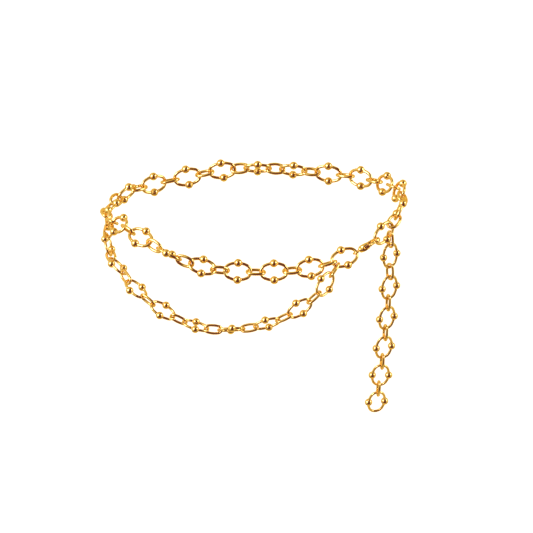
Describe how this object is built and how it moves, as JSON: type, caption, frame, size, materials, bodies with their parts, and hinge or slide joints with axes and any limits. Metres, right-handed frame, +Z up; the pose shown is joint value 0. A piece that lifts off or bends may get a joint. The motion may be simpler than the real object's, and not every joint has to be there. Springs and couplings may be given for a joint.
{
  "type": "waist chain",
  "caption": "Worn waist chain of oval rings with soldered beads and plain connector links, with a draped front strand, a hanging tail and a lobster clasp.",
  "frame": {"origin": "centre of the worn waist, at the height where the loop sits", "axes": "+Z up along the waist's axis, the front towards -Y, +X to the side that carries the clasp and the tail"},
  "size_m": [0.278, 0.2115, 0.2204],
  "materials": {
    "gold_tone": "polished gold plate"
  },
  "bodies": {
    "chain": {"waist_chain_front": "gold_tone", "waist_chain_back": "gold_tone", "swag_chain": "gold_tone", "drop_chain": "gold_tone", "clasp_body": "gold_tone"},
    "lever": {"clasp_lever": "gold_tone"}
  },
  "joints": [
    {"name": "lever_pivot", "type": "hinge", "parent": "chain", "child": "lever", "pos_m": [0.09836, -0.05115, -0.0023], "axis": [-0.4678, 0.2528, 0.8469], "range_deg": [0, 22], "stiffness_Nm_per_rad": 0.01, "springref_deg": -8.59}
  ]
}
